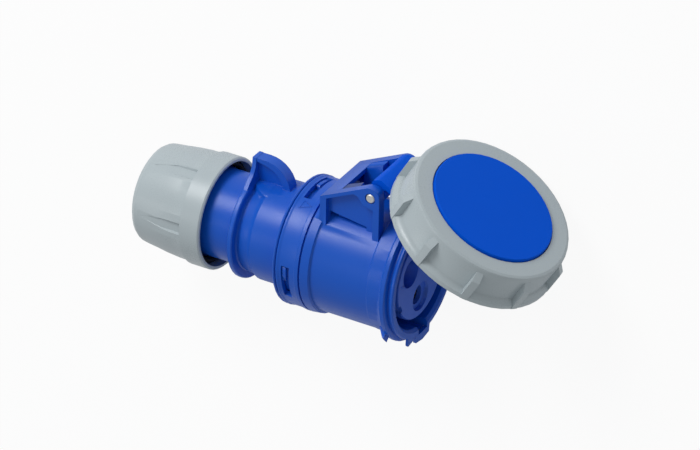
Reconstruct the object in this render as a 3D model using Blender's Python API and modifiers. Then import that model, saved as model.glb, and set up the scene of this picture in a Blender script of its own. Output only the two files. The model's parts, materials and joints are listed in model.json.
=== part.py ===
"""Splash-proof cable connector with a hinged lid and a bayonet ring.

A blue moulded housing in two halves carries a three-pole contact insert. A lid with a grey
bayonet ring closes the mouth, and a grey gland nut clamps the cable at the other end.

The connector is modelled standing on its gland nut: Z runs along its axis to the mouth, X points
to the lid hinge, and Z = 0 is the groove between the two halves of the housing. The lid is
modelled closed and is swung open by its own frame. At the end everything is turned to the way
the connector lies on a table, on its nut, its collar and the rim of the open lid.
"""
import math

import bmesh
import bpy
from mathutils import Matrix, Vector

mm = 0.001
deg = math.pi / 180

# General clearances and facets
GAP = 0.3 * mm              # between pieces that seat on each other
RUN = 0.4 * mm              # between pieces that slide or turn
RING_STEPS = 48             # facets round the lid and its ring
STEPS = 40                  # facets round the housing and the nut
INNER_STEPS = 24            # facets round the pieces inside
SMALL_STEPS = 16            # facets round the contacts and the pin

# Front housing: barrel, collar and rear skirt
MOUTH_Z = 42.2 * mm         # front edge of the mouth
BORE_R = 22.8 * mm          # bore that takes the plug's shroud
WALL = 2.8 * mm
MOUTH_CHAMFER = 0.43 * WALL
BARREL_R = BORE_R + WALL
FRONT_BARREL_R = BARREL_R + 0.07 * WALL     # barrel in front of the fine step
RIM_R = BARREL_R + 0.32 * WALL              # narrow band round the mouth
RIM_WIDTH = 1.5 * mm
COLLAR_R = BARREL_R + 0.89 * WALL           # flange behind the rim
COLLAR_Z = MOUTH_Z - 2 * RIM_WIDTH          # front face of that flange
COLLAR_WIDTH = 2.0 * mm
COLLAR_FLARE = 1.8 * COLLAR_WIDTH           # length of the hollow curve behind that flange
STEP_Z = COLLAR_Z - 4.6 * COLLAR_WIDTH
STEP_OFFSET = 0.25 * WALL                   # how far the step leans towards the hinge
SKIRT_BORE_R = BORE_R + 0.61 * WALL         # takes the rear housing's spigot
BAND_R = SKIRT_BORE_R + 0.93 * WALL         # raised bands on both sides of the groove at Z = 0
SKIRT_R = BAND_R - 0.14 * WALL
GROOVE_WIDTH = 0.8 * mm
GROOVE_DEPTH = 0.36 * WALL
BAND_TOP = 5 * GROOVE_WIDTH
SKIRT_REAR = -10.8 * mm
SEAT_Z = BAND_TOP + 1.54 * WALL             # shoulder that the contact insert rests against
WINDOW_Z = (0.76 * SKIRT_REAR, 0.435 * SKIRT_REAR)
WINDOWS = ((0 * deg, 20 * deg), (102 * deg, 17 * deg), (-102 * deg, 17 * deg))

# Keyway and bayonet teeth round the mouth
KEY_ANGLE = 180 * deg
KEY_WIDTH = 7.2 * mm
KEY_DEPTH = 1.14 * WALL
KEY_BULGE_R = BORE_R + KEY_DEPTH + 1.25 * WALL
KEY_RIB_R = KEY_BULGE_R - 0.54 * WALL       # the same bulge, lower, along the barrel
BULGE_HALF = 15 * deg
TOOTH_FRONT = (157 * deg, RIM_R + 1.1 * WALL)       # angle and radius of the tip
TOOTH_REAR = (130 * deg, COLLAR_R + 0.75 * WALL)
TOOTH_REAR_HALF = 4.5 * deg
TOOTH_RAMP = 2 * COLLAR_WIDTH               # length of the rear tooth's ramp behind the collar

# Lid, closed
LID_R = 26.1 * mm           # round plate in the middle of the ring
LID_WALL = 1.8 * mm
LID_CLEAR = 2.508 * mm      # between the collar and the lid's skirt round it
LID_SKIRT_IN = COLLAR_R + LID_CLEAR
LID_FLANGE_R = LID_SKIRT_IN + LID_WALL      # hidden flange that carries the ring
LID_PLATE = 1.4 * mm
LID_PROUD = 1.0 * mm

# Hinge bracket on the barrel
HINGE_X = LID_FLANGE_R + 5.8 * mm
HINGE_BACK = 16.8 * mm      # from the mouth back to the pin
HINGE_Z = MOUTH_Z - HINGE_BACK
BOSS_R = 4.6 * mm
PIN_R = 0.41 * BOSS_R
CHEEK = 4.0 * mm            # thickness of each cheek
CHEEK_OUT = 16.0 * mm       # outer face of each cheek
CHEEK_IN = CHEEK_OUT - CHEEK
POCKET_DEPTH = 0.6 * CHEEK
FRAME_WIDTH = 0.7 * CHEEK   # bars round the pocket
BRACKET_REAR = BAND_TOP - 1 * mm
BRACKET_FRONT = HINGE_Z + 0.9 * BOSS_R
BRACKET_REAR_X = BARREL_R + 2.5 * WALL      # height of the bracket at its rear wall
ROOF_END = BRACKET_REAR + 1.65 * BOSS_R     # front edge of the sloping roof between the cheeks
ROOF_THICK = 0.55 * CHEEK
SHELF_IN = CHEEK_IN - 1.1 * CHEEK           # inner face of the thick part of each cheek
SHELF_END = HINGE_Z - 1.6 * BOSS_R

# Rear housing
REAR_WALL = 2.5 * mm
SPIGOT_R = SKIRT_BORE_R - RUN
SPIGOT_FRONT = BAND_TOP - RUN
SPIGOT_BORE_R = SPIGOT_R - REAR_WALL
STOP_R = BAND_R             # flange that closes against the skirt
STOP_WIDTH = 1.3 * mm
STOP_REAR = SKIRT_REAR - GAP - STOP_WIDTH
REAR_R = SPIGOT_R - 1.12 * REAR_WALL
REAR_BORE_R = REAR_R - 0.96 * REAR_WALL
LEDGE_Z = STOP_REAR - 13.9 * mm             # front edge of the finger groove
FLANGE_FRONT = LEDGE_Z - 7.2 * mm
LEDGE_SLOPE = 2.4 * mm
GROOVE_R = REAR_R - 0.64 * REAR_WALL
FLANGE_WIDTH = 2.3 * mm
FLANGE_REAR = FLANGE_FRONT - FLANGE_WIDTH
FLANGE_R = REAR_R + 0.64 * REAR_WALL
NECK_R = REAR_R - 1.12 * REAR_WALL
NECK_RING_R = NECK_R + 0.32 * REAR_WALL
NECK_LENGTH = 17.8 * mm
NECK_RING_Z = FLANGE_REAR - NECK_LENGTH
THREAD_R = NECK_R + 0.84 * REAR_WALL
THREAD_FRONT = NECK_RING_Z - 3.8 * mm
NECK_END = THREAD_FRONT - 14.7 * mm
CABLE_BORE_R = NECK_R - REAR_WALL
CLAW_SEAT_R = CABLE_BORE_R + 0.56 * REAR_WALL
CLAW_SEAT_Z = NECK_END + 6.1 * mm
SADDLE = (24 * deg, 9 * deg)     # where the fill of the finger groove ends at the front and at the rear
HOOK_WIDTH = 5.2 * mm       # hanging hook on the flange
HOOK_HEIGHT = 10.6 * mm
HOOK_TOP = REAR_R + HOOK_HEIGHT
HOOK_BEND_R = 1.15 * HOOK_HEIGHT
HOOK_FOOT_Z = LEDGE_Z + 0.77 * HOOK_HEIGHT
HOOK_BAR = 0.46 * HOOK_WIDTH
HOOK_WEB = 0.3 * HOOK_WIDTH
LUG_HALF = (9 * deg, 7 * deg, 7 * deg)   # bayonet lugs seen in the skirt's windows
LUG_R = SPIGOT_R + 0.8 * REAR_WALL
LUG_WIDTH = 1.6 * mm

# Contact insert and its contacts
INSERT_FACE = MOUTH_Z - 1.6 * mm
INSERT_R = BORE_R - 3.8 * mm
INSERT_BASE_R = SKIRT_BORE_R - GAP
INSERT_REAR = SEAT_Z - GAP - 3.4 * mm
PITCH_R = 10.0 * mm         # contact circle
PIN = (2.5 * mm, 3.5 * mm)  # radius of the holes for the plug's pins, and of the thicker earth one
SLEEVE_WALL = 0.8 * mm
RECESS = (PIN[0] + 3.6 * mm, PIN[1] + 2.8 * mm)
RECESS_DEPTH = (9.0 * mm, 1.8 * mm)
CONTACTS = {                # angle, recess radius, recess depth, pin radius, sleeve radius
    "line": (-60 * deg, RECESS[0], RECESS_DEPTH[0], PIN[0], PIN[0] + SLEEVE_WALL),
    "neutral": (60 * deg, RECESS[0], RECESS_DEPTH[0], PIN[0], PIN[0] + SLEEVE_WALL),
    "earth": (180 * deg, RECESS[1], RECESS_DEPTH[1], PIN[1], PIN[1] + SLEEVE_WALL),
}
WEB = 2.0 * mm              # wall between a recess and the sleeve behind it
SLEEVE_HEAD = 9.0 * mm      # length of the thin front part of a sleeve
SLEEVE_REAR = -9.0 * mm
WIRE_R = 0.88 * PIN[0]      # hole for the wire
SPRING_WALL = SLEEVE_WALL
SPRING_LENGTH = 4.0 * mm
SCREW_R = 1.6 * mm
SCREW_HEAD_R = 2.5 * mm
SCREW_HEAD = 1.8 * mm
SCREW_Z = 0.47 * SLEEVE_REAR

# Gland nut and what it squeezes
NUT_WALL = 2.8 * mm
NUT_R = THREAD_R + RUN + NUT_WALL
NUT_FRONT = THREAD_FRONT + 8.9 * mm
NUT_BAND = 9.0 * mm         # plain band in front of the fine step
NUT_STEP = 0.25 * NUT_WALL
NUT_WALL_REAR = 4.1 * mm
NUT_REAR = NECK_END - NUT_WALL_REAR - 7.2 * mm
NUT_SHOULDER_R = NUT_R - 0.93 * NUT_WALL
NUT_FILLET = 4.5 * mm
NUT_MOUTH_R = THREAD_R + 0.57 * NUT_WALL
NUT_CAVITY_R = THREAD_R - 0.75 * NUT_WALL
CLAW_WALL = 2.5 * mm
SEAL_WALL = 7.008 * mm      # rubber between the claws and the cable
SEAL_BORE_R = CLAW_SEAT_R - CLAW_WALL - GAP - SEAL_WALL
CABLE_HOLE_R = SEAL_BORE_R + 1 * mm
LEAVES = 6                  # leaf-shaped grip grooves
LEAF_ANGLE = 26.5 * deg
LEAF_HALF = 2.8 * mm
LEAF_FLOOR_R = NUT_R - 0.64 * NUT_WALL
LEAF_TIP = NUT_REAR + 6.4 * mm
CLAW_SLOTS = 8
CLAW_SLOT = 1.6 * mm

# Lid on its hinge
LID_FACE_Z = MOUTH_Z + 9.2 * mm
LID_SKIRT_REAR = LID_FACE_Z - 11.0 * mm
GASKET_R = (BORE_R - 0.8 * mm, LID_SKIRT_IN - 2.008 * mm)
KNUCKLE_R = BOSS_R - 0.5 * mm
KNUCKLE_SIDE = 0.95 * KNUCKLE_R             # top edge of the web beyond the pin
WEB_THICK = 2.2 * mm
WEB_REAR = HINGE_Z + KNUCKLE_R + 0.7 * mm
WEB_BOTTOM = LID_FLANGE_R - 2.0 * mm
ARM_HALF = 15.5 * deg       # half the angle of the arm inside the ring

# Bayonet ring
RING_WALL = 1.5 * mm
RING_BORE_R = LID_FLANGE_R + RUN
RING_FACE_R = RING_BORE_R + RING_WALL
RING_EDGE = 1.4 * mm        # rounding between the face and the wall
RING_WALL_R = RING_FACE_R - 0.13 * RING_WALL
RING_LIP_BORE_R = RING_FACE_R
RING_LIP_R = RING_LIP_BORE_R + 1.63 * RING_WALL
RING_DEPTH = 16.6 * mm      # face to lip
RING_LIP = 1.4 * RING_WALL
RING_FLARE = 1.2 * RING_WALL
RING_FACE_THICK = 2.2 * mm
RIBS = 10
RIB_ANGLE = 7.5 * deg
RIB_HALF = 2.5 * deg
RIB_R = RING_LIP_R + 0.1 * RING_WALL
RIB_TOP = (0.157 * RING_DEPTH, 0.325 * RING_DEPTH)  # start and end of the rib's sloping top below the face
CAM_R = COLLAR_R + 2 * RUN  # inner edge of the ring's two bayonet cams
CAM_HALF = 7 * deg
CAM_ANGLES = (130 * deg, -50 * deg)
CAM_Z = (COLLAR_Z - 0.7 * COLLAR_WIDTH, COLLAR_Z + RUN + 0.4 * mm)

# Pose
LID_OPEN = 59.56 * deg      # how far the lid stands open
BLUE = (0.010, 0.070, 0.500, 1)
LID_BLUE = (0.004, 0.080, 0.560, 1)
GREY = (0.370, 0.420, 0.410, 1)
BLACK = (0.012, 0.012, 0.013, 1)
BRASS = (0.720, 0.500, 0.200, 1)
STEEL = (0.720, 0.720, 0.700, 1)
IVORY = (0.600, 0.580, 0.520, 1)

for old in list(bpy.data.objects):
    bpy.data.objects.remove(old, do_unlink=True)
PARTS = bpy.data.collections.new("cee_socket")
bpy.context.scene.collection.children.link(PARTS)


def material(name, colour, roughness, metallic=0.0):
    mat = bpy.data.materials.new(name)
    mat.use_nodes = True
    shader = mat.node_tree.nodes["Principled BSDF"]
    shader.inputs["Base Color"].default_value = colour
    shader.inputs["Roughness"].default_value = roughness
    shader.inputs["Metallic"].default_value = metallic
    mat.diffuse_color = colour
    return mat


def new_object(name, mesh):
    obj = bpy.data.objects.new(name, mesh)
    PARTS.objects.link(obj)
    return obj


def bake(obj):
    """Replace an object's modifiers by their result, welded and with its faces pointing out."""
    depsgraph = bpy.context.evaluated_depsgraph_get()
    mesh = bpy.data.meshes.new_from_object(obj.evaluated_get(depsgraph))
    bm = bmesh.new()
    bm.from_mesh(mesh)
    bmesh.ops.remove_doubles(bm, verts=bm.verts, dist=0.000002)
    bmesh.ops.recalc_face_normals(bm, faces=bm.faces)
    bm.to_mesh(mesh)
    bm.free()
    name = obj.name
    if obj.type == "CURVE":
        matrix = obj.matrix_world.copy()
        bpy.data.objects.remove(obj)
        obj = new_object(name, mesh)
        mesh.transform(matrix)
        return obj
    obj.modifiers.clear()
    obj.data = mesh
    return obj


def combine(obj, tool, operation):
    """Join a tool to an object, or cut it out, and remove the tool."""
    boolean = obj.modifiers.new("boolean", "BOOLEAN")
    boolean.operation = operation
    boolean.solver = "EXACT"
    boolean.object = tool
    bake(obj)
    bpy.data.objects.remove(tool)
    return obj


def join(obj, tool):
    return combine(obj, tool, "UNION")


def cut(obj, tool):
    return combine(obj, tool, "DIFFERENCE")


def arc(centre, radius, start, end, count):
    """Points on an arc, both ends included."""
    turn = (end - start) / (count - 1)
    return [(centre[0] + radius * math.cos(start + i * turn),
             centre[1] + radius * math.sin(start + i * turn)) for i in range(count)]


def lathe(name, profile, steps=STEPS):
    """Turn a closed outline of (radius, Z) points, which runs down its outer side."""
    count = len(profile)
    edges = [(i, (i + 1) % count) for i in range(count)]
    if profile[0][0] == 0 and profile[-1][0] == 0:
        edges.pop()         # a solid piece has no edge along its axis
    mesh = bpy.data.meshes.new(name)
    mesh.from_pydata([(r, 0, z) for r, z in profile], edges, [])
    obj = new_object(name, mesh)
    screw = obj.modifiers.new("turn", "SCREW")
    screw.steps = screw.render_steps = steps
    screw.use_merge_vertices = True
    screw.merge_threshold = 0.00001
    return bake(obj)


def tube(name, inner, outer, low, high, steps=STEPS):
    return lathe(name, [(outer, high), (outer, low), (inner, low), (inner, high)], steps)


def rod(name, radius, low, high, steps=INNER_STEPS):
    bpy.ops.mesh.primitive_cylinder_add(vertices=steps, radius=radius, depth=high - low,
                                        location=(0, 0, (low + high) / 2))
    obj = bpy.context.object
    obj.name = name
    PARTS.objects.link(obj)
    bpy.context.collection.objects.unlink(obj)
    obj.data.transform(Matrix.Translation(obj.location))
    obj.location = (0, 0, 0)
    return obj


def sector(name, profile, middle, half, steps=4):
    """Turn a closed outline of (radius, Z) points through part of a circle."""
    bm = bmesh.new()
    face = bm.faces.new([bm.verts.new((r, 0, z)) for r, z in profile])
    bmesh.ops.spin(bm, geom=[face] + face.edges[:] + face.verts[:], cent=(0, 0, 0),
                   axis=(0, 0, 1), angle=2 * half, steps=steps)
    bmesh.ops.recalc_face_normals(bm, faces=bm.faces)
    mesh = bpy.data.meshes.new(name)
    bm.to_mesh(mesh)
    bm.free()
    mesh.transform(Matrix.Rotation(middle - half, 4, "Z"))
    return new_object(name, mesh)


def plate(name, outline, low, high, plane="XZ"):
    """Thicken a flat outline: in XZ from Y = low to high, or in XY from Z = low to high."""
    curve = bpy.data.curves.new(name, "CURVE")
    curve.dimensions = "2D"
    curve.fill_mode = "BOTH"
    curve.extrude = (high - low) / 2
    spline = curve.splines.new("POLY")
    spline.points.add(len(outline) - 1)
    for point, (x, y) in zip(spline.points, outline):
        point.co = (x, y, 0, 1)
    spline.use_cyclic_u = True
    obj = new_object(name, curve)
    middle = (high + low) / 2
    if plane == "XZ":
        obj.matrix_world = Matrix.Translation((0, middle, 0)) @ Matrix.Rotation(90 * deg, 4, "X")
    else:
        obj.matrix_world = Matrix.Translation((0, 0, middle))
    bpy.context.view_layer.update()
    return bake(obj)


def box(name, low, high):
    bpy.ops.mesh.primitive_cube_add(size=1)
    obj = bpy.context.object
    obj.name = name
    PARTS.objects.link(obj)
    bpy.context.collection.objects.unlink(obj)
    size = Vector(high) - Vector(low)
    obj.data.transform(Matrix.Translation((Vector(low) + Vector(high)) / 2)
                       @ Matrix.Diagonal((*size, 1)))
    return obj


def across(obj):
    """Turn a rod that lies along Z so that it lies along Y on the hinge axis."""
    obj.data.transform(Matrix.Translation((HINGE_X, 0, HINGE_Z)) @ Matrix.Rotation(90 * deg, 4, "X"))
    return obj


def polar(radius, angle):
    return (radius * math.cos(angle), radius * math.sin(angle))


def bracket_top(z):
    """Height of the bracket's sloping top above the axis."""
    slope = (HINGE_X + BOSS_R * 0.85 - BRACKET_REAR_X) / (HINGE_Z - 0.5 * BOSS_R - BRACKET_REAR)
    return BRACKET_REAR_X + slope * (z - BRACKET_REAR)


def front_housing():
    collar_rear = COLLAR_Z - COLLAR_WIDTH
    rim_rear = MOUTH_Z - RIM_WIDTH
    groove = GROOVE_WIDTH / 2
    edge = 0.4 * mm
    rise = COLLAR_R - FRONT_BARREL_R
    body = lathe("front_housing", [
        (0, MOUTH_Z), (RIM_R - edge, MOUTH_Z), (RIM_R, MOUTH_Z - edge), (RIM_R, rim_rear),
        (FRONT_BARREL_R, rim_rear - edge), (FRONT_BARREL_R, COLLAR_Z + edge),
        (COLLAR_R - edge, COLLAR_Z), (COLLAR_R, COLLAR_Z - edge), (COLLAR_R, collar_rear),
        (COLLAR_R - 0.5 * rise, collar_rear - 0.15 * COLLAR_FLARE),
        (FRONT_BARREL_R + 0.16 * rise, collar_rear - 0.5 * COLLAR_FLARE),
        (FRONT_BARREL_R, collar_rear - COLLAR_FLARE), (FRONT_BARREL_R, STEP_Z),
        (BARREL_R, STEP_Z - edge),
        (BARREL_R, BAND_TOP + edge), (BAND_R - edge, BAND_TOP), (BAND_R, groove),
        (BAND_R - GROOVE_DEPTH, groove), (BAND_R - GROOVE_DEPTH, -groove), (BAND_R, -groove),
        (BAND_R, -groove - 1.6 * mm), (SKIRT_R, -groove - 2 * mm), (SKIRT_R, SKIRT_REAR + 1.6 * mm),
        (BAND_R, SKIRT_REAR + 1.2 * mm), (BAND_R, SKIRT_REAR + edge), (BAND_R - edge, SKIRT_REAR),
        (0, SKIRT_REAR)])
    add_step(body)
    add_bulge(body)
    add_teeth(body)
    add_bracket(body)
    over = 2 * mm
    cut(body, lathe("bore", [
        (0, MOUTH_Z + over), (BORE_R + MOUTH_CHAMFER + over, MOUTH_Z + over), (BORE_R, MOUTH_Z - MOUTH_CHAMFER),
        (BORE_R, SEAT_Z), (SKIRT_BORE_R, SEAT_Z), (SKIRT_BORE_R, SKIRT_REAR - over), (0, SKIRT_REAR - over)]))
    half = KEY_WIDTH / 2
    cut(body, box("keyway", (-BORE_R - KEY_DEPTH, -half, SEAT_Z + 1 * mm),
                  (-BORE_R + over, half, MOUTH_Z + over)))
    low, high = WINDOW_Z
    for angle, half in WINDOWS:
        cut(body, sector("window", [(BAND_R + 1 * mm, low), (BAND_R + 1 * mm, high),
                                    (SKIRT_BORE_R - 1 * mm, high), (SKIRT_BORE_R - 1 * mm, low)],
                         angle, half, 6))
    return body


def add_step(body):
    """Raise the front of the barrel on the hinge side, in a step that fades out below."""
    step = lathe("step", [(0, COLLAR_Z - 1 * mm), (FRONT_BARREL_R, COLLAR_Z - 1 * mm),
                          (FRONT_BARREL_R + 0.1 * mm, STEP_Z + 0.4 * mm), (FRONT_BARREL_R - 0.6 * mm, STEP_Z),
                          (0, STEP_Z)])
    step.data.transform(Matrix.Translation((STEP_OFFSET, 0.4 * STEP_OFFSET, 0)))
    join(body, step)


def add_bulge(body):
    """Swell the wall behind the key groove."""
    inner = BORE_R + 1 * mm
    rib_half = 0.75 * BULGE_HALF
    join(body, sector("key_rib", [(KEY_RIB_R, BAND_TOP + 1 * mm), (inner, BAND_TOP + 1 * mm),
                                  (inner, MOUTH_Z - 2 * mm), (KEY_RIB_R, MOUTH_Z - 2 * mm)],
                      KEY_ANGLE, rib_half))
    outline = [polar(inner, KEY_ANGLE - BULGE_HALF), polar(KEY_BULGE_R, KEY_ANGLE - 0.7 * BULGE_HALF),
               polar(KEY_BULGE_R + 0.4 * mm, KEY_ANGLE),
               polar(KEY_BULGE_R, KEY_ANGLE + 0.7 * BULGE_HALF), polar(inner, KEY_ANGLE + BULGE_HALF)]
    join(body, plate("key_bulge", outline, MOUTH_Z - RIM_WIDTH, MOUTH_Z - 0.1 * mm, "XY"))


def add_teeth(body):
    """Two pairs of bayonet teeth, opposite each other: a hook on the rim, a ramp behind the collar."""
    root = RIM_R - 0.8 * mm
    angle, tip = TOOTH_FRONT
    hook = [polar(root, angle - 5 * deg), polar(tip - 0.5 * mm, angle - 2 * deg), polar(tip, angle - 0.5 * deg),
            polar(tip - 1.5 * mm, angle + 5 * deg), polar(root, angle + 12 * deg)]
    middle, top = TOOTH_REAR
    high = COLLAR_Z - COLLAR_WIDTH + 0.3 * mm
    ramp = [(top, high), (top - 0.2 * mm, high - 0.6 * mm), (root - 1 * mm, high - 0.6 * mm - TOOTH_RAMP),
            (root - 1 * mm, high)]
    for turn in (0, 180 * deg):
        tooth = plate("tooth", hook, MOUTH_Z - 0.8 * RIM_WIDTH, MOUTH_Z - 0.1 * RIM_WIDTH, "XY")
        tooth.data.transform(Matrix.Rotation(turn, 4, "Z"))
        join(body, tooth)
        join(body, sector("ramp", ramp, middle + turn, TOOTH_REAR_HALF))


def add_bracket(body):
    """Two cheeks with open pockets, a rear wall, a sloping roof and the pin's hole."""
    foot = math.sqrt(BARREL_R ** 2 - CHEEK_OUT ** 2) - 1.5 * mm
    outline = [(foot, BRACKET_REAR), (BRACKET_REAR_X, BRACKET_REAR)]
    outline += [(HINGE_X + BOSS_R * math.sin(a), HINGE_Z - BOSS_R * math.cos(a))
                for a in (58 * deg, 75 * deg, 92 * deg, 110 * deg, 128 * deg, 146 * deg)]
    outline += [(HINGE_X - 0.5 * mm, BRACKET_FRONT), (foot, BRACKET_FRONT)]
    low = BRACKET_REAR + FRAME_WIDTH
    high = BRACKET_FRONT - FRAME_WIDTH
    bar = 0.6 * FRAME_WIDTH
    pocket = [(foot - 3 * mm, low), (bracket_top(low) - bar, low),
              (bracket_top(HINGE_Z - 1.6 * BOSS_R) - bar, HINGE_Z - 1.6 * BOSS_R),
              (HINGE_X - 0.2 * BOSS_R, HINGE_Z - 1.15 * BOSS_R),
              (HINGE_X - 0.8 * BOSS_R, HINGE_Z - 0.75 * BOSS_R),
              (HINGE_X - 1.1 * BOSS_R, high), (foot - 3 * mm, high)]
    gap = [(BARREL_R + 0.15 * WALL, low + 0.2 * mm), (BARREL_R - 0.05 * WALL, low + FRAME_WIDTH),
           (BARREL_R - 0.8 * WALL, high - 1.4 * FRAME_WIDTH), (foot, high - 1.4 * FRAME_WIDTH),
           (foot, low + 0.2 * mm)]
    for side in (1, -1):
        y0, y1 = sorted((side * CHEEK_IN, side * CHEEK_OUT))
        cheek = plate("cheek", outline, y0, y1)
        y0, y1 = sorted((side * (CHEEK_OUT - POCKET_DEPTH), side * (CHEEK_OUT + 1 * mm)))
        cut(cheek, plate("pocket", pocket, y0, y1))
        y0, y1 = sorted((side * (CHEEK_IN - 1 * mm), side * CHEEK_OUT))
        cut(cheek, plate("gap", gap, y0, y1))
        join(body, cheek)
        shelf_top = bracket_top(ROOF_END) - 0.5 * mm
        inner = FRONT_BARREL_R - 2 * mm
        y0, y1 = sorted((side * SHELF_IN, side * (CHEEK_IN + 0.5 * mm)))
        join(body, plate("shelf", [(inner, ROOF_END - 1 * mm), (shelf_top, ROOF_END - 1 * mm),
                                   (bracket_top(SHELF_END) - 0.5 * mm, SHELF_END),
                                   (inner, SHELF_END)], y0, y1))
    half = CHEEK_IN + 0.5 * mm
    foot = BARREL_R - 2.5 * mm
    wall = 0.65 * CHEEK
    roof = [(foot, BRACKET_REAR), (BRACKET_REAR_X, BRACKET_REAR), (bracket_top(ROOF_END), ROOF_END),
            (bracket_top(ROOF_END) - ROOF_THICK, ROOF_END),
            (bracket_top(BRACKET_REAR + wall) - ROOF_THICK, BRACKET_REAR + wall),
            (foot, BRACKET_REAR + wall)]
    join(body, plate("roof", roof, -half, half))
    hole = across(rod("pin_hole", PIN_R + GAP, -CHEEK_OUT - 1 * mm, CHEEK_OUT + 1 * mm))
    cut(body, hole)


def rear_housing():
    edge = 0.4 * mm
    bead = FLANGE_FRONT + 1.7 * mm
    seal_low, seal_high = 0.2 * mm, 2.4 * mm
    body = lathe("rear_housing", [
        (SPIGOT_R - edge, SPIGOT_FRONT), (SPIGOT_R, SPIGOT_FRONT - edge), (SPIGOT_R, seal_high),
        (SPIGOT_R - 1.4 * mm, seal_high), (SPIGOT_R - 1.4 * mm, seal_low), (SPIGOT_R, seal_low),
        (SPIGOT_R, SKIRT_REAR - GAP), (STOP_R - edge, SKIRT_REAR - GAP),
        (STOP_R, SKIRT_REAR - GAP - edge), (STOP_R - 0.2 * mm, STOP_REAR + 0.3 * mm),
        (STOP_R - 1.0 * mm, STOP_REAR), (REAR_R + 1.2 * mm, STOP_REAR - 0.3 * mm),
        (REAR_R + 0.3 * mm, STOP_REAR - 1.2 * mm), (REAR_R, STOP_REAR - 2.6 * mm),
        (REAR_R, LEDGE_Z + edge), (REAR_R - edge, LEDGE_Z), (GROOVE_R, LEDGE_Z - LEDGE_SLOPE),
        (GROOVE_R, bead), (GROOVE_R - 0.5 * mm, bead - 0.1 * mm), (GROOVE_R - 0.5 * mm, FLANGE_FRONT + edge),
        (GROOVE_R, FLANGE_FRONT), (FLANGE_R - edge, FLANGE_FRONT), (FLANGE_R, FLANGE_FRONT - edge),
        (FLANGE_R, FLANGE_REAR + edge), (FLANGE_R - edge, FLANGE_REAR), (NECK_R + edge, FLANGE_REAR - edge),
        (NECK_R, FLANGE_REAR - 1.2 * mm), (NECK_R, NECK_RING_Z + edge), (NECK_RING_R, NECK_RING_Z),
        (NECK_RING_R, THREAD_FRONT + edge), (THREAD_R, THREAD_FRONT), (THREAD_R, NECK_END + edge),
        (THREAD_R - edge, NECK_END), (CLAW_SEAT_R, NECK_END), (CLAW_SEAT_R, CLAW_SEAT_Z),
        (CABLE_BORE_R, CLAW_SEAT_Z), (CABLE_BORE_R, FLANGE_FRONT), (REAR_BORE_R, LEDGE_Z + 3 * mm),
        (REAR_BORE_R, STOP_REAR), (SPIGOT_BORE_R, SKIRT_REAR + 3 * mm), (SPIGOT_BORE_R, SPIGOT_FRONT)])
    add_saddle(body)
    add_hook(body)
    low = WINDOW_Z[0] + GAP
    high = low + LUG_WIDTH
    for (angle, window), half in zip(WINDOWS, LUG_HALF):
        join(body, sector("lug", [(LUG_R, low), (LUG_R, high), (SPIGOT_R - 1 * mm, high),
                                  (SPIGOT_R - 1 * mm, low)], angle + 1 * deg + half - window, half, 3))
    return body


def add_saddle(body):
    """Fill the finger groove under the hook, with a rounded corner at each end of the fill."""
    inner, outer = GROOVE_R - 1.2 * mm, REAR_R
    corner, narrow = SADDLE
    bm = bmesh.new()
    rings = []
    for i in range(-9, 10):
        angle = corner * i / 9
        t = max(0.0, (abs(angle) - narrow) / (corner - narrow))
        low = FLANGE_FRONT - 0.5 * mm + (LEDGE_Z - FLANGE_FRONT) * (0.6 * t + 0.4 * t ** 3)
        slope = LEDGE_SLOPE * (outer - inner) / (outer - GROOVE_R)
        section = [(inner, low - slope * t), (outer - 0.3 * mm, low), (outer, low + 0.5 * mm),
                   (outer, LEDGE_Z + 1 * mm), (inner, LEDGE_Z + 1 * mm)]
        rings.append([bm.verts.new((*polar(r, angle), z)) for r, z in section])
    for a, b in zip(rings, rings[1:]):
        for i in range(5):
            j = (i + 1) % 5
            bm.faces.new((a[i], a[j], b[j], b[i]))
    bm.faces.new(rings[0])
    bm.faces.new(reversed(rings[-1]))
    bmesh.ops.recalc_face_normals(bm, faces=bm.faces)
    mesh = bpy.data.meshes.new("saddle")
    bm.to_mesh(mesh)
    bm.free()
    join(body, new_object("saddle", mesh))


def add_hook(body):
    """Hanging hook: an ear that rises from the flange and a bent bar with a thin web under it."""
    half = HOOK_WIDTH / 2
    side = [(HOOK_TOP + 0.1 * mm, half + 0.1 * mm), (HOOK_TOP - 4 * mm, half + 0.7 * mm),
            (HOOK_TOP - 7 * mm, half + 2.6 * mm),
            (HOOK_TOP - 9.6 * mm, half + 5.6 * mm), (HOOK_TOP - 12.5 * mm, half + 8.4 * mm)]
    ear = side + [(NECK_R - 1.5 * mm, half + 8 * mm), (NECK_R - 1.5 * mm, -half - 8 * mm)]
    ear += [(x, -y) for x, y in reversed(side)]
    centre = (HOOK_TOP - HOOK_BEND_R, HOOK_FOOT_Z - HOOK_BEND_R)
    bend = arc(centre, HOOK_BEND_R, 0, 90 * deg, 9)
    bar = [(HOOK_TOP, FLANGE_REAR + 0.2 * mm)] + bend + [(centre[0], FLANGE_REAR + 0.2 * mm)]
    fin = plate("hook", bar, -half, half)
    inside = arc((centre[0], centre[1] - 0.4 * HOOK_BAR), HOOK_BEND_R - HOOK_BAR, 0, 84 * deg, 7)
    floor = REAR_R - 0.8 * mm
    rear = FLANGE_FRONT - 0.5 * mm
    panel = [(HOOK_TOP - 0.6 * HOOK_BAR, rear)] + inside[1:]
    panel = [p for p in panel if p[0] > floor] + [(floor, HOOK_FOOT_Z - 1.4 * HOOK_BAR), (floor, rear)]
    for y0, y1 in ((HOOK_WEB / 2, half + 1 * mm), (-half - 1 * mm, -HOOK_WEB / 2)):
        cut(fin, plate("panel", panel, y0, y1))
    join(fin, plate("ear", ear, FLANGE_REAR + 0.1 * mm, FLANGE_FRONT - 0.4 * mm, "XY"))
    join(body, fin)


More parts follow.
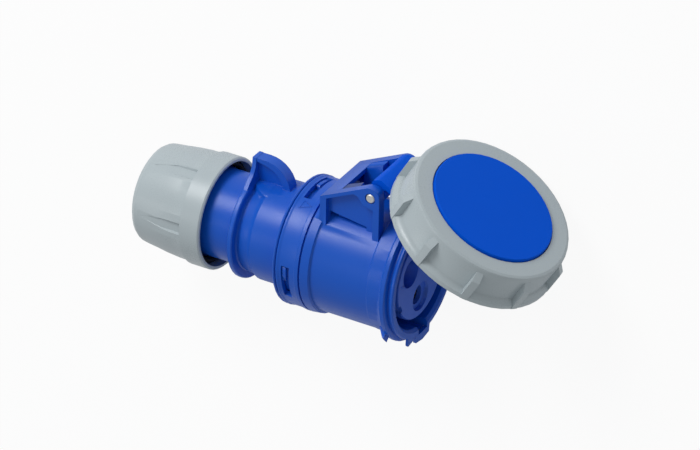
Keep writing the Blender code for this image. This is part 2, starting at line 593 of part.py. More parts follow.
def contact_insert():
    edge = 0.5 * mm
    insert = lathe("contact_insert", [
        (0, INSERT_FACE), (INSERT_R - edge, INSERT_FACE), (INSERT_R, INSERT_FACE - edge),
        (INSERT_R, SEAT_Z - GAP), (INSERT_BASE_R, SEAT_Z - GAP), (INSERT_BASE_R, INSERT_REAR),
        (0, INSERT_REAR)])
    for angle, recess, depth, pin, sleeve in CONTACTS.values():
        floor = INSERT_FACE - depth
        body = sleeve + GAP + SPRING_WALL + GAP
        for radius, low, high in ((recess, floor, INSERT_FACE + 1 * mm),
                                  (pin + 0.5 * mm, floor - WEB - 1 * mm, floor + 1 * mm),
                                  (body, INSERT_REAR - 1 * mm, floor - WEB)):
            hole = rod("hole", radius, low, high, INNER_STEPS if radius == recess else SMALL_STEPS)
            hole.data.transform(Matrix.Translation((*polar(PITCH_R, angle), 0)))
            cut(insert, hole)
    low, high = INSERT_FACE - 3 * mm, INSERT_FACE + 1 * mm
    notch = sector("notch", [(INSERT_R + 1 * mm, low), (INSERT_R + 1 * mm, high), (INSERT_R - 1.6 * mm, high),
                             (INSERT_R - 1.6 * mm, low)], 115 * deg, 6 * deg, 2)
    return cut(insert, notch)


def sleeve(name):
    """Brass contact sleeve with a thick rear end that clamps the wire."""
    angle, recess, depth, pin, outer = CONTACTS[name]
    front = INSERT_FACE - depth - WEB - GAP
    thick = outer + GAP + SPRING_WALL
    piece = lathe("sleeve_" + name, [
        (outer - 0.2 * mm, front), (outer, front - 0.2 * mm), (outer, front - SLEEVE_HEAD),
        (thick, front - SLEEVE_HEAD), (thick, SLEEVE_REAR), (WIRE_R, SLEEVE_REAR), (WIRE_R, 0),
        (pin, 1 * mm), (pin, front)], SMALL_STEPS)
    hole = rod("screw_hole", SCREW_R + GAP, 0, thick + 2 * mm, 12)
    hole.data.transform(Matrix.Translation((0, 0, SCREW_Z)) @ Matrix.Rotation(90 * deg, 4, "Y"))
    cut(piece, hole)
    place = Matrix.Translation((*polar(PITCH_R, angle), 0)) @ Matrix.Rotation(angle, 4, "Z")
    piece.data.transform(place)
    ring = tube("sleeve_spring_" + name, outer + GAP, outer + GAP + SPRING_WALL - 0.1 * mm,
                front - 1.5 * mm - SPRING_LENGTH, front - 1.5 * mm, SMALL_STEPS)
    ring.data.transform(place)
    screw = lathe("terminal_screw_" + name, [
        (0, thick + GAP + SCREW_HEAD), (SCREW_HEAD_R, thick + GAP + SCREW_HEAD), (SCREW_HEAD_R, thick + GAP),
        (SCREW_R, thick + GAP), (SCREW_R, WIRE_R + 0.2 * mm), (0, WIRE_R + 0.2 * mm)], 12)
    slot = box("slot", (-SCREW_HEAD_R * 1.2, -0.4 * mm, thick + GAP + SCREW_HEAD - 0.9 * mm),
               (SCREW_HEAD_R * 1.2, 0.4 * mm, thick + GAP + SCREW_HEAD + 1 * mm))
    cut(screw, slot)
    screw.data.transform(place @ Matrix.Translation((0, 0, SCREW_Z)) @ Matrix.Rotation(90 * deg, 4, "Y"))
    return piece, ring, screw


def hinge_pin():
    edge = 0.3 * mm
    end = CHEEK_OUT + 0.1 * mm
    return across(lathe("hinge_pin", [
        (0, end), (PIN_R - edge, end), (PIN_R, end - edge), (PIN_R, -end + edge), (PIN_R - edge, -end),
        (0, -end)], SMALL_STEPS))


def housing_seal():
    radius = 0.7 * mm
    middle = (SPIGOT_R - 1.4 * mm + 0.15 * mm + radius, 1.3 * mm)
    circle = arc(middle, radius, 90 * deg, -270 * deg, 7)[:-1]
    return lathe("housing_seal", circle, INNER_STEPS)


def gland_nut():
    step_z = NUT_FRONT - NUT_BAND
    edge = 0.6 * mm
    rear_wall = NUT_REAR + NUT_WALL_REAR
    side_r = NUT_R - NUT_STEP
    side_drop = side_r - NUT_SHOULDER_R
    side_z = NUT_REAR - step_z
    corner = arc((NUT_SHOULDER_R - NUT_FILLET, NUT_REAR + NUT_FILLET), NUT_FILLET, 0, -90 * deg, 5)
    thread = THREAD_R + RUN
    nut = lathe("gland_nut", [
        (NUT_R - edge, NUT_FRONT), (NUT_R, NUT_FRONT - edge), (NUT_R, step_z), (side_r, step_z - 0.2 * mm),
        (side_r - 0.05 * side_drop, step_z + 0.19 * side_z),
        (side_r - 0.32 * side_drop, step_z + 0.43 * side_z),
        (side_r - 0.68 * side_drop, step_z + 0.62 * side_z)] + corner + [
        (CABLE_HOLE_R + 0.8 * mm, NUT_REAR), (CABLE_HOLE_R, NUT_REAR + 0.8 * mm), (CABLE_HOLE_R, rear_wall),
        (NUT_CAVITY_R, rear_wall), (NUT_CAVITY_R, NECK_END - 2 * mm), (thread, NECK_END - 1 * mm),
        (thread, THREAD_FRONT), (NUT_MOUTH_R, THREAD_FRONT + 1.2 * mm), (NUT_MOUTH_R, NUT_FRONT)])
    for i in range(LEAVES):
        cut(nut, leaf(LEAF_ANGLE + i * 360 * deg / LEAVES, step_z - 0.2 * mm))
    return nut


def leaf(angle, front):
    """Cutter for one grip groove: blunt at the step, pointed at the rear."""
    middle = (front + LEAF_TIP) / 2
    sections = [(front, LEAF_HALF, LEAF_FLOOR_R), (middle, LEAF_HALF, LEAF_FLOOR_R),
                (0.5 * (middle + LEAF_TIP), 0.62 * LEAF_HALF, LEAF_FLOOR_R - 0.2 * mm),
                (LEAF_TIP, 0.04 * LEAF_HALF, LEAF_FLOOR_R - 0.7 * mm)]
    top = NUT_R + 1 * mm
    bm = bmesh.new()
    rings = []
    for z, half, floor in sections:
        low, high = half * 0.7, half * 1.35
        rings.append([bm.verts.new(p) for p in ((floor, -low, z), (top, -high, z), (top, high, z),
                                                (floor, low, z))])
    for a, b in zip(rings, rings[1:]):
        for i in range(4):
            j = (i + 1) % 4
            bm.faces.new((a[i], a[j], b[j], b[i]))
    bm.faces.new(rings[0])
    bm.faces.new(reversed(rings[-1]))
    bmesh.ops.recalc_face_normals(bm, faces=bm.faces)
    mesh = bpy.data.meshes.new("leaf")
    bm.to_mesh(mesh)
    bm.free()
    mesh.transform(Matrix.Rotation(angle, 4, "Z"))
    return new_object("leaf", mesh)


def gland_claws():
    """Slotted collet that the nut closes on the rubber seal."""
    tip = NUT_REAR + NUT_WALL_REAR + 2 * GAP + 1.4 * mm
    outer, inner = CLAW_SEAT_R - GAP, CLAW_SEAT_R - CLAW_WALL
    claws = lathe("gland_claws", [
        (outer, CLAW_SEAT_Z - GAP), (outer, NECK_END - 0.4 * mm), (outer - 2.6 * mm, tip),
        (inner - 2.2 * mm, tip), (inner, NECK_END - 0.4 * mm), (inner, CLAW_SEAT_Z - GAP)], INNER_STEPS)
    for i in range(CLAW_SLOTS // 2):
        slot = box("slot", (-CLAW_SEAT_R - 2 * mm, -CLAW_SLOT / 2, tip - 1 * mm),
                   (CLAW_SEAT_R + 2 * mm, CLAW_SLOT / 2, NECK_END + 1.5 * mm))
        slot.data.transform(Matrix.Rotation(i * 360 * deg / CLAW_SLOTS, 4, "Z"))
        cut(claws, slot)
    return claws


def gland_seal():
    tip = NUT_REAR + NUT_WALL_REAR + 2 * GAP + 1.9 * mm
    outer = CLAW_SEAT_R - CLAW_WALL - GAP
    return lathe("gland_seal", [
        (outer, CLAW_SEAT_Z - GAP), (outer, NECK_END - 0.4 * mm), (outer - 2.2 * mm, tip),
        (SEAL_BORE_R + 1 * mm, tip), (SEAL_BORE_R, tip + 1.5 * mm), (SEAL_BORE_R, CLAW_SEAT_Z - GAP)],
        INNER_STEPS)


def thrust_ring():
    low = NUT_REAR + NUT_WALL_REAR + GAP
    return tube("thrust_ring", CABLE_HOLE_R + 1 * mm, NUT_CAVITY_R - 0.7 * mm, low, low + 1.4 * mm - GAP,
                INNER_STEPS)


def lid_plate_rear():
    """Rear face of the lid's plate, on which the gasket lies."""
    return LID_FACE_Z - LID_PROUD - RING_FACE_THICK - GAP - LID_PLATE


def lid_cap():
    edge = 0.4 * mm
    plate_rear = lid_plate_rear()
    flange = plate_rear + LID_PLATE
    cap = lathe("lid_cap", [
        (0, LID_FACE_Z), (LID_R - edge, LID_FACE_Z), (LID_R, LID_FACE_Z - edge), (LID_R, flange),
        (LID_FLANGE_R, flange), (LID_FLANGE_R, LID_SKIRT_REAR), (LID_SKIRT_IN, LID_SKIRT_REAR),
        (LID_SKIRT_IN, plate_rear), (0, plate_rear)], RING_STEPS)
    web_front = WEB_REAR + WEB_THICK
    arm_out, arm_in = LID_FLANGE_R - 0.1 * mm, LID_SKIRT_IN - 0.7 * mm
    arm = sector("arm", [(arm_out, plate_rear + 0.5 * mm), (arm_out, WEB_REAR), (arm_in, WEB_REAR),
                         (arm_in, plate_rear + 0.5 * mm)], 0, ARM_HALF, 8)
    width = CHEEK_IN - RUN
    top = HINGE_X + KNUCKLE_SIDE
    web = plate("web", [(WEB_BOTTOM, WEB_REAR), (HINGE_X - 2 * mm, WEB_REAR),
                        (HINGE_X - 2 * mm, HINGE_Z + 1 * mm), (HINGE_X, HINGE_Z),
                        (top, HINGE_Z + 0.5 * mm), (top, WEB_REAR - 0.2 * mm),
                        (HINGE_X + 0.4 * KNUCKLE_SIDE, web_front), (WEB_BOTTOM, web_front)], -width, width)
    join(web, across(rod("knuckle", KNUCKLE_R, -width, width)))
    cut(web, across(rod("bore", PIN_R + GAP, -width - 1 * mm, width + 1 * mm)))
    join(web, arm)
    return join(cap, web)


def lid_gasket():
    """Ring of rubber between the lid's plate and the edge of the mouth."""
    top = lid_plate_rear() - GAP
    low = MOUTH_Z + GAP
    inner, outer = GASKET_R
    edge = 0.4 * mm
    return lathe("lid_gasket", [
        (outer, top), (outer, low + edge), (outer - edge, low), (inner + edge, low), (inner, low + edge),
        (inner, top)])


def lid_ring():
    face = LID_FACE_Z - LID_PROUD
    lip = face - RING_DEPTH
    edge = 0.4 * mm
    flare = lip + RING_LIP
    ring = lathe("lid_ring", [
        (RING_FACE_R - RING_EDGE, face), (RING_FACE_R - 0.3 * RING_EDGE, face - 0.3 * RING_EDGE),
        (RING_FACE_R, face - RING_EDGE), (RING_WALL_R, flare + RING_FLARE),
        (RING_LIP_R - 0.1 * mm, flare), (RING_LIP_R, lip + edge), (RING_LIP_R - edge, lip),
        (RING_LIP_BORE_R, lip), (RING_LIP_BORE_R, flare + 0.6 * mm), (RING_BORE_R, flare + RING_FLARE),
        (RING_BORE_R, face - RING_FACE_THICK), (LID_R + RUN, face - RING_FACE_THICK), (LID_R + RUN, face)],
        RING_STEPS)
    low, high = CAM_Z
    for angle in CAM_ANGLES:
        join(ring, sector("cam", [(RING_BORE_R + 0.8 * mm, high), (RING_BORE_R + 0.8 * mm, low),
                                  (CAM_R, low), (CAM_R, high)], angle, CAM_HALF))
    start, end = RIB_TOP
    wall = (RING_BORE_R + RING_WALL_R) / 2
    rim = (RING_LIP_BORE_R + RING_LIP_R) / 2
    for i in range(RIBS):
        join(ring, sector("rib", [(wall, face - start + 0.6 * mm), (RING_FACE_R, face - start),
                                  (RIB_R - 0.3 * mm, face - end), (RIB_R, face - end - 0.6 * mm),
                                  (RIB_R, lip + edge),
                                  (rim, lip + edge), (rim, flare), (wall, flare + RING_FLARE)],
                          RIB_ANGLE + i * 360 * deg / RIBS, RIB_HALF, 2))
    return ring


def finish(obj, mat, frame):
    """Shade a piece, give it its material and hang it on its frame."""
    obj.data.materials.clear()
    obj.data.materials.append(mat)
    obj.data.shade_smooth()
    obj.data.set_sharp_from_angle(angle=35 * deg)
    origin = Vector(frame["origin"])
    obj.data.transform(Matrix.Translation(-origin))
    obj.parent = frame


def frame(name, parent, origin, local):
    """Empty on a joint's axis; origin is its place in the connector's own coordinates."""
    empty = bpy.data.objects.new(name, None)
    PARTS.objects.link(empty)
    empty["origin"] = origin
    empty.parent = parent
    empty.matrix_local = local
    return empty


def support(direction):
    """How far the housing's middle, its collar and the open lid's lip reach down along a direction."""
    down = Vector(direction).normalized()
    axis = Vector((0, 0, 1))
    tilt = Matrix.Rotation(LID_OPEN, 3, "Y")
    hinge = Vector((HINGE_X, 0, HINGE_Z))
    lip_z = LID_FACE_Z - LID_PROUD - RING_DEPTH
    lip = hinge + tilt @ (Vector((0, 0, lip_z)) - hinge)
    reach = []
    for centre, normal, radius in ((Vector((0, 0, SKIRT_REAR - GAP)), axis, STOP_R),
                                   (Vector((0, 0, COLLAR_Z)), axis, COLLAR_R),
                                   (lip, tilt @ axis, RING_LIP_R)):
        reach.append(centre.dot(down) + radius * math.sqrt(1 - normal.dot(down) ** 2))
    return reach


def lying_down():
    """Turn that lays the connector on its middle, its collar and the open lid's lip."""
    x = z = 0.0
    for _ in range(60):
        middle, collar, lip = support((x, -1, z))
        z -= 0.9 * (collar - middle) / (COLLAR_Z - SKIRT_REAR)
        middle, collar, lip = support((x, -1, z))
        x -= 0.9 * (lip - 0.5 * (middle + collar)) / HINGE_X
    up = -Vector((x, -1, z)).normalized()
    along = Vector((0, 0, 1))
    along = (along - along.dot(up) * up).normalized()
    left = up.cross(along)
    return Matrix((along, left, up)).to_4x4()


def build():
    housing_blue = material("housing_blue", BLUE, 0.35)
    lid_blue = material("lid_blue", LID_BLUE, 0.4)
    ring_grey = material("ring_grey", GREY, 0.45)
    rubber = material("black_rubber", BLACK, 0.8)
    brass = material("brass", BRASS, 0.3, 1.0)
    steel = material("steel", STEEL, 0.3, 1.0)
    ivory = material("claw_plastic", IVORY, 0.5)

    zero = (0.0, 0.0, 0.0)
    hinge = (HINGE_X, 0.0, HINGE_Z)
    lid_centre = (0.0, 0.0, LID_FACE_Z)
    connector = frame("connector", None, zero, lying_down())
    lid_frame = frame("lid_frame", connector, hinge,
                      Matrix.Translation(hinge) @ Matrix.Rotation(LID_OPEN, 4, "Y"))
    ring_frame = frame("ring_frame", lid_frame, lid_centre,
                       Matrix.Translation(Vector(lid_centre) - Vector(hinge)))

    finish(front_housing(), housing_blue, connector)
    finish(rear_housing(), housing_blue, connector)
    finish(contact_insert(), housing_blue, connector)
    for name in CONTACTS:
        piece, ring, screw = sleeve(name)
        finish(piece, brass, connector)
        finish(ring, steel, connector)
        finish(screw, steel, connector)
    finish(hinge_pin(), steel, connector)
    finish(housing_seal(), rubber, connector)
    finish(gland_claws(), ivory, connector)
    finish(gland_seal(), rubber, connector)
    finish(thrust_ring(), ivory, connector)
    finish(gland_nut(), ring_grey, connector)
    finish(lid_cap(), lid_blue, lid_frame)
    finish(lid_gasket(), rubber, lid_frame)
    finish(lid_ring(), ring_grey, ring_frame)
    settle(connector)


def settle(connector):
    """Put the lowest point on the floor and the outline's middle over the origin."""
    bpy.context.view_layer.update()
    points = [obj.matrix_world @ v.co for obj in PARTS.objects if obj.type == "MESH" for v in obj.data.vertices]
    low = [min(p[i] for p in points) for i in range(3)]
    high = [max(p[i] for p in points) for i in range(3)]
    move = Vector((-(low[0] + high[0]) / 2, -(low[1] + high[1]) / 2, -low[2]))
    connector.matrix_world = Matrix.Translation(move) @ connector.matrix_world
    bpy.context.view_layer.update()


build()
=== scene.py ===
"""Looks for the cable connector: camera, materials, fine surfaces, small pieces, floor and light."""
import json
import math

import bmesh
import bpy
from mathutils import Matrix, Vector

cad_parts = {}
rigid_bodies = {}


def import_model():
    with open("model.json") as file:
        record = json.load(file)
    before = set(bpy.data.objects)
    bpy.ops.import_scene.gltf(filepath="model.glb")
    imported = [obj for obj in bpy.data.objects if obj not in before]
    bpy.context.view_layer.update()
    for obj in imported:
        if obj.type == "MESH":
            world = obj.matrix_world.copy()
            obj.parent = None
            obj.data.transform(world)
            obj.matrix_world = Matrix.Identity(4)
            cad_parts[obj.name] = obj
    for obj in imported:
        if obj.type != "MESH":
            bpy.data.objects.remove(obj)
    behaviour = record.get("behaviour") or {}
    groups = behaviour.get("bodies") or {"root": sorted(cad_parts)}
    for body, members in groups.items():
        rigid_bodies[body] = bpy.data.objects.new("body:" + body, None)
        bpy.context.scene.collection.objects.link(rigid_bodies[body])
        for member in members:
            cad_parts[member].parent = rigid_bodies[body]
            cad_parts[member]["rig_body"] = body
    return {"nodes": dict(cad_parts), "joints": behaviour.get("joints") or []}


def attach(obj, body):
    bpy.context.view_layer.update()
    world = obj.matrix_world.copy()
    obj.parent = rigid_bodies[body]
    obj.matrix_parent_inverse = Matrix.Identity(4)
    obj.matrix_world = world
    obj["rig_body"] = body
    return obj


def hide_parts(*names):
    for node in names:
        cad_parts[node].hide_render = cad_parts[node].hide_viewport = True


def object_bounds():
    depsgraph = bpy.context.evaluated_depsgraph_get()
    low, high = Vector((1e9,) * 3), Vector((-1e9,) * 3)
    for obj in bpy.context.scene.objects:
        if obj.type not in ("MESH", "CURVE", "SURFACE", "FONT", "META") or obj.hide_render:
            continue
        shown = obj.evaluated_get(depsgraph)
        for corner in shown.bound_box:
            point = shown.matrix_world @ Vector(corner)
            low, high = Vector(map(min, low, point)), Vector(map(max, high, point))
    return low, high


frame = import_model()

mm = 0.001
deg = math.pi / 180
cad_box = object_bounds()
nodes = frame["nodes"]
joints = {j["name"]: j for j in frame["joints"]}

# The connector's own axes: Z to the mouth, X to the hinge, origin between the two housings.
ORIGIN = Vector(joints["housing_twist"]["pos_m"])
AXIS_Z = Vector(joints["housing_twist"]["axis"]).normalized()
AXIS_Y = Vector(joints["lid_hinge"]["axis"]).normalized()
AXIS_X = AXIS_Y.cross(AXIS_Z).normalized()
AXIS_Y = AXIS_Z.cross(AXIS_X).normalized()
CONNECTOR = Matrix((AXIS_X, AXIS_Y, AXIS_Z)).transposed().to_4x4()
CONNECTOR.translation = ORIGIN


# ---------------------------------------------------------------- camera
PICTURE_WIDTH = 700         # in pixels
FOCAL = 4000.0              # in pixels of that picture
ROLL = 0.7 * deg
PAN = (0.9, -0.7)           # picture shift in pixels, right and down
SENSOR = 36                 # in millimetres
CLIP_START, CLIP_END = 0.05, 20

# Place and directions of the camera in the connector's own axes.
CAMERA_PLACE = Vector((837.54 * mm, 1188.34 * mm, 667.58 * mm))
CAMERA_RIGHT = Vector((0.008, -0.490, 0.872))
CAMERA_LOOK = Vector((-0.519, -0.748, -0.415))


def add_camera():
    """Adds the camera, and gives its view's directions: right, up and ahead."""
    turn = CONNECTOR.to_3x3()
    place = CONNECTOR @ CAMERA_PLACE
    right = (turn @ CAMERA_RIGHT).normalized()
    look = (turn @ CAMERA_LOOK).normalized()
    down = look.cross(right).normalized()
    right = down.cross(look).normalized()
    c, s = math.cos(ROLL), math.sin(ROLL)
    right, down = c * right - s * down, s * right + c * down
    look = (look - right * PAN[0] / FOCAL - down * PAN[1] / FOCAL).normalized()
    down = look.cross(right).normalized()
    right = down.cross(look).normalized()
    camera = bpy.data.cameras.new("camera")
    camera.sensor_width = SENSOR
    camera.lens = SENSOR * FOCAL / PICTURE_WIDTH
    camera.clip_start, camera.clip_end = CLIP_START, CLIP_END
    obj = bpy.data.objects.new("camera", camera)
    bpy.context.scene.collection.objects.link(obj)
    matrix = Matrix((right, -down, -look)).transposed().to_4x4()
    matrix.translation = place
    obj.matrix_world = matrix
    bpy.context.scene.camera = obj
    return right, -down, look


VIEW_RIGHT, VIEW_UP, VIEW_LOOK = add_camera()


# ---------------------------------------------------------------- materials
FLOW_SCALE, GRAIN_SCALE = 55.0, 2600.0      # moulded plastic: broad flow marks and fine grain
FLOW_DEPTH, GRAIN_DEPTH = 0.5 * mm, 0.05 * mm
TOOL_SCALE, STAIN_SCALE = 1500.0, 260.0     # turned metal: tool marks and broad stains
TOOL_DEPTH = 0.05 * mm
NOISE_LOW, NOISE_HIGH = 0.3, 0.7            # most of a noise texture lies between these


def linear(rgb):
    """Colour of 0 to 255 as the picture shows it, as the linear colour that a shader takes."""
    out = []
    for value in rgb:
        value /= 255
        out.append(value / 12.92 if value <= 0.04045 else ((value + 0.055) / 1.055) ** 2.4)
    return (*out, 1.0)


class Nodes:
    """Small helper that adds and links shader nodes."""

    def __init__(self, name):
        self.material = bpy.data.materials.new(name)
        self.material.use_nodes = True
        self.tree = self.material.node_tree
        self.shader = self.tree.nodes["Principled BSDF"]

    def add(self, kind, inputs=(), **settings):
        node = self.tree.nodes.new(kind)
        for key, value in settings.items():
            setattr(node, key, value)
        for key, value in dict(inputs).items():
            if isinstance(value, bpy.types.NodeSocket):
                self.tree.links.new(value, node.inputs[key])
            else:
                node.inputs[key].default_value = value
        return node

    def link(self, a, b):
        self.tree.links.new(a, b)

    def around(self, noise, middle, swing):
        """Value that follows a noise, from middle - swing to middle + swing."""
        node = self.add("ShaderNodeMapRange", {"Value": noise, "From Min": NOISE_LOW, "From Max": NOISE_HIGH,
                                               "To Min": middle - swing, "To Max": middle + swing})
        return node.outputs["Result"]

    def between(self, noise, first, second):
        """Colour that follows a noise from the first colour to the second."""
        node = self.add("ShaderNodeMix", {0: noise}, data_type="RGBA")
        node.inputs[6].default_value = first
        node.inputs[7].default_value = second
        return node.outputs[2]


def moulded(name, colour, roughness, mottle=0.04, grain=0.03, swirl=0.02, specular=0.5, edge=0.3 * mm):
    """Moulded plastic or rubber: fine grain, faint flow shading and edges softened over edge metres."""
    n = Nodes(name)
    where = n.add("ShaderNodeTexCoord").outputs["Object"]
    flow = n.add("ShaderNodeTexNoise", {"Vector": where, "Scale": FLOW_SCALE, "Detail": 3.0,
                                        "Roughness": 0.45}).outputs["Fac"]
    fine = n.add("ShaderNodeTexNoise", {"Vector": where, "Scale": GRAIN_SCALE, "Detail": 2.0,
                                        "Roughness": 0.6}).outputs["Fac"]
    base = linear(colour)
    dark = tuple(v * (1 - mottle) for v in base[:3]) + (1,)
    light = tuple(min(1, v * (1 + mottle)) for v in base[:3]) + (1,)
    n.link(n.between(flow, dark, light), n.shader.inputs["Base Color"])
    total = n.add("ShaderNodeMath", {0: n.around(fine, roughness, 0.05), 1: n.around(flow, 0, 0.03)},
                  operation="ADD")
    n.link(total.outputs[0], n.shader.inputs["Roughness"])
    sink = n.add("ShaderNodeBump", {"Strength": swirl, "Distance": FLOW_DEPTH, "Height": flow})
    soft = n.add("ShaderNodeBevel", {"Radius": edge}, samples=4)
    n.link(soft.outputs["Normal"], sink.inputs["Normal"])
    bump = n.add("ShaderNodeBump", {"Strength": grain, "Distance": GRAIN_DEPTH, "Height": fine,
                                    "Normal": sink.outputs["Normal"]})
    n.link(bump.outputs["Normal"], n.shader.inputs["Normal"])
    n.shader.inputs["Specular IOR Level"].default_value = specular
    return n.material


def turned_metal(name, colour, roughness):
    """Turned metal with fine tool marks."""
    n = Nodes(name)
    where = n.add("ShaderNodeTexCoord").outputs["Object"]
    marks = n.add("ShaderNodeTexNoise", {"Vector": where, "Scale": TOOL_SCALE, "Detail": 3.0}).outputs["Fac"]
    stain = n.add("ShaderNodeTexNoise", {"Vector": where, "Scale": STAIN_SCALE, "Detail": 2.0}).outputs["Fac"]
    base = linear(colour)
    dark = tuple(0.9 * v for v in base[:3]) + (1,)
    n.link(n.between(stain, dark, base), n.shader.inputs["Base Color"])
    n.link(n.around(marks, roughness, 0.06), n.shader.inputs["Roughness"])
    bump = n.add("ShaderNodeBump", {"Strength": 0.05, "Distance": TOOL_DEPTH, "Height": marks})
    n.link(bump.outputs["Normal"], n.shader.inputs["Normal"])
    n.shader.inputs["Metallic"].default_value = 1.0
    return n.material


housing_blue = moulded("moulded_blue", (8, 88, 202), 0.34, grain=0.05, swirl=0.03, specular=0.42)
insert_blue = moulded("insert_blue", (50, 102, 214), 0.45, grain=0.05)
lid_blue = moulded("lid_blue", (0, 88, 220), 0.5, mottle=0.03, grain=0.06, swirl=0.01, specular=0.05)
ring_grey = moulded("moulded_grey", (181, 192, 196), 0.3, mottle=0.025, grain=0.05, swirl=0.02,
                    edge=0.15 * mm)
rubber = moulded("black_rubber", (26, 26, 27), 0.72, mottle=0.12, grain=0.15, swirl=0.05, specular=0.35)
ivory = moulded("claw_plastic", (205, 200, 185), 0.5)
steel = turned_metal("bright_steel", (243, 242, 238), 0.5)
brass = turned_metal("turned_brass", (214, 178, 104), 0.30)

LOOKS = {
    "front_housing": housing_blue, "rear_housing": housing_blue, "contact_insert": insert_blue,
    "gland_nut": ring_grey, "lid_ring": ring_grey, "lid_cap": lid_blue, "lid_gasket": rubber,
    "housing_seal": rubber, "gland_seal": rubber, "gland_claws": ivory, "thrust_ring": ivory,
    "hinge_pin": steel,
}
for name, obj in nodes.items():
    if name.startswith("sleeve_spring") or name.startswith("terminal_screw"):
        look = steel
    elif name.startswith("sleeve"):
        look = brass
    else:
        look = LOOKS[name]
    for index in range(len(obj.data.materials)):
        obj.data.materials[index] = look


# ---------------------------------------------------------------- fine surfaces
WELD = 0.002 * mm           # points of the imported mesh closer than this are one
LEVEL = 0.2 * deg           # faces that meet flatter than this are one
# Edges sharper than this, in degrees, stay creases.
CREASES = {"gland_nut": 17, "lid_ring": 18, "front_housing": 28, "rear_housing": 28, "lid_cap": 28}
OTHER_CREASE = 35


def fine_surface(name, crease):
    """Stands for a faceted node: the same form, with its facets shaded as the curve they follow."""
    bm = bmesh.new()
    bm.from_mesh(nodes[name].data)
    bmesh.ops.remove_doubles(bm, verts=bm.verts, dist=WELD)
    bmesh.ops.dissolve_limit(bm, angle_limit=LEVEL, verts=bm.verts, edges=bm.edges)
    mesh = bpy.data.meshes.new(name + "_fine")
    bm.to_mesh(mesh)
    bm.free()
    mesh.shade_smooth()
    mesh.set_sharp_from_angle(angle=crease * deg)
    mesh.materials.append(LOOKS.get(name, brass))
    for polygon in mesh.polygons:
        polygon.material_index = 0
    obj = bpy.data.objects.new(name + "_fine", mesh)
    bpy.context.scene.collection.objects.link(obj)
    weighted = obj.modifiers.new("even_normals", "WEIGHTED_NORMAL")
    weighted.keep_sharp = True
    weighted.weight = 50
    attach(obj, nodes[name]["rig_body"])
    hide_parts(name)


for name in nodes:
    if not name.startswith(("sleeve_spring", "terminal_screw", "housing_seal")):
        fine_surface(name, CREASES.get(name, OTHER_CREASE))


# ---------------------------------------------------------------- small pieces
def on_shell(radius, angle, z):
    """Point on a cylinder round the connector's axis."""
    return Vector((radius * math.cos(angle), radius * math.sin(angle), z))


def connector_object(name, bm, crease, look):
    """Object from a mesh in the connector's own axes, smooth between edges sharper than crease degrees."""
    bmesh.ops.recalc_face_normals(bm, faces=bm.faces)
    mesh = bpy.data.meshes.new(name)
    bm.to_mesh(mesh)
    bm.free()
    mesh.transform(CONNECTOR)
    mesh.shade_smooth()
    mesh.set_sharp_from_angle(angle=crease * deg)
    mesh.materials.append(look)
    obj = bpy.data.objects.new(name, mesh)
    bpy.context.scene.collection.objects.link(obj)
    return obj


SUNK = 0.15 * mm            # how far the raised outline goes into the wall below it
SHOULDER = 0.6              # share of its height at which its flanks turn in to the flat top
SPREAD = 1.7                # its corners move out and in by this much more than its sides


def band(name, corners, radius, width, height, body, look):
    """Raised outline with a flat top that follows a cylinder, through corners of (Z, angle)."""
    bm = bmesh.new()
    count = len(corners)
    middle = (sum(c[0] for c in corners) / count, sum(c[1] for c in corners) / count)
    foot, shoulder, top = radius - SUNK, radius + SHOULDER * height, radius + height
    section = ((0.5, foot), (0.5, shoulder), (0.25, top), (-0.25, top), (-0.5, shoulder), (-0.5, foot))
    rings = []
    for offset, r in section:
        ring = []
        for z, angle in corners:
            away = Vector((z - middle[0], (angle - middle[1]) * radius))
            away = away + away.normalized() * offset * width * SPREAD
            ring.append(bm.verts.new(on_shell(r, middle[1] + away[1] / radius, middle[0] + away[0])))
        rings.append(ring)
    for a, b in zip(rings, rings[1:] + rings[:1]):
        for i in range(count):
            j = (i + 1) % count
            bm.faces.new((a[i], a[j], b[j], b[i]))
    obj = connector_object(name, bm, 40, look)
    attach(obj, body)


def turned(name, outline, steps, body, look):
    """Ring turned round the connector's axis from a closed outline of (radius, Z)."""
    bm = bmesh.new()
    rings = []
    for i in range(steps):
        angle = 2 * math.pi * i / steps
        rings.append([bm.verts.new(on_shell(r, angle, z)) for r, z in outline])
    for a, b in zip(rings, rings[1:] + rings[:1]):
        for i in range(len(outline)):
            j = (i + 1) % len(outline)
            bm.faces.new((a[i], b[i], b[j], a[j]))
    obj = connector_object(name, bm, 50, look)
    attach(obj, body)


# Raised triangle beside the joint of the two housings, on the front one's skirt.
MARK_CORNERS = [(-7.6 * mm, 31 * deg), (-6.8 * mm, 23 * deg), (-2.9 * mm, 27 * deg)]
SKIRT_RADIUS = 26.65 * mm
MARK_WIDTH = 0.35 * mm
MARK_HEIGHT = 0.22 * mm
band("lock_mark", MARK_CORNERS, SKIRT_RADIUS, MARK_WIDTH, MARK_HEIGHT, "front", housing_blue)

# Dark ring in the mouth of the nut: painted shade, a dark piece put where the inside of the nut's mouth lies
# in shadow.
SHADE_RING_OUTLINE = [(19.6 * mm, -55.9 * mm), (21.4 * mm, -55.9 * mm), (21.9 * mm, -55.4 * mm),
               (21.9 * mm, -52.6 * mm), (21.2 * mm, -51.4 * mm), (20.2 * mm, -51.2 * mm),
               (19.6 * mm, -51.8 * mm)]
SHADE_RING_STEPS = 96
turned("painted_shade_ring", SHADE_RING_OUTLINE, SHADE_RING_STEPS, "rear", rubber)


# ---------------------------------------------------------------- floor and light
FLOOR_REACH = 4             # in metres, from the middle to each side
FLOOR_DROP = 0.05 * mm      # below the part, so that no face of it lies in the floor
FLOOR_GLOW = 0.92           # share of plain white in what the camera sees of the floor
FLOOR_COLOUR = (0.86, 0.86, 0.865, 1)
WORLD_COLOUR = (0.96, 0.98, 1.0, 1)
WORLD_STRENGTH = 0.42
LIGHT_DISTANCE = 1.2        # in metres, from the middle of the part
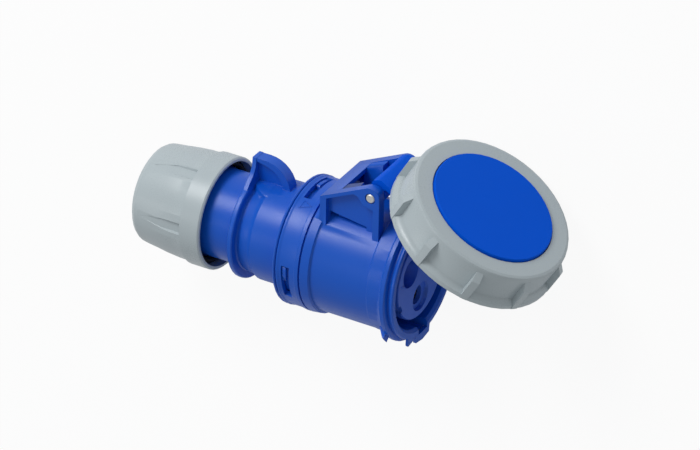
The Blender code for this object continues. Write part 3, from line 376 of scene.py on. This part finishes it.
# Name, degrees to the right of the camera and above it, width and height in metres, power in watts.
LIGHTS = (("key", -42, 36, (0.5, 0.55), 7.2),
          ("side", 80, 15, (0.5, 0.7), 3.0),
          ("low", -72, -8, (0.25, 0.6), 0.8))


def add_floor():
    """Pale floor that the camera sees as nearly white, with a faint shadow."""
    mesh = bpy.data.meshes.new("floor")
    f = FLOOR_REACH
    mesh.from_pydata([(-f, -f, 0), (f, -f, 0), (f, f, 0), (-f, f, 0)], [], [(0, 1, 2, 3)])
    obj = bpy.data.objects.new("floor", mesh)
    obj.location.z = -FLOOR_DROP
    bpy.context.scene.collection.objects.link(obj)
    n = Nodes("pale_floor")
    n.shader.inputs["Base Color"].default_value = FLOOR_COLOUR
    n.shader.inputs["Roughness"].default_value = 0.9
    n.shader.inputs["Specular IOR Level"].default_value = 0.1
    path = n.add("ShaderNodeLightPath")
    glow = n.add("ShaderNodeEmission", {"Color": (1, 1, 1, 1), "Strength": 1.0})
    mix = n.add("ShaderNodeMixShader", {0: 0.0})
    share = n.add("ShaderNodeMath", {0: path.outputs["Is Camera Ray"], 1: FLOOR_GLOW}, operation="MULTIPLY")
    n.link(share.outputs[0], mix.inputs[0])
    n.link(n.shader.outputs[0], mix.inputs[1])
    n.link(glow.outputs[0], mix.inputs[2])
    out = [node for node in n.tree.nodes if node.type == "OUTPUT_MATERIAL"][0]
    n.link(mix.outputs[0], out.inputs["Surface"])
    mesh.materials.append(n.material)


def softbox(name, place, target, size, power):
    """Rectangular light of (width, height) that faces the target."""
    light = bpy.data.lights.new(name, "AREA")
    light.shape = "RECTANGLE"
    light.size, light.size_y = size
    light.energy = power
    obj = bpy.data.objects.new(name, light)
    bpy.context.scene.collection.objects.link(obj)
    obj.location = place
    obj.rotation_euler = (target - place).to_track_quat("-Z", "Y").to_euler()


add_floor()
centre = (Vector(cad_box[0]) + Vector(cad_box[1])) / 2
world = bpy.data.worlds.new("studio")
world.use_nodes = True
world.node_tree.nodes["Background"].inputs["Color"].default_value = WORLD_COLOUR
world.node_tree.nodes["Background"].inputs["Strength"].default_value = WORLD_STRENGTH
bpy.context.scene.world = world


def towards(right, up):
    """Direction from the part, in degrees to the right of the camera and above it."""
    level = -VIEW_LOOK * math.cos(right * deg) + VIEW_RIGHT * math.sin(right * deg)
    return level * math.cos(up * deg) + VIEW_UP * math.sin(up * deg)


for name, right, up, size, power in LIGHTS:
    softbox(name, centre + LIGHT_DISTANCE * towards(right, up), centre, size, power)

bpy.context.scene.view_settings.view_transform = "Standard"
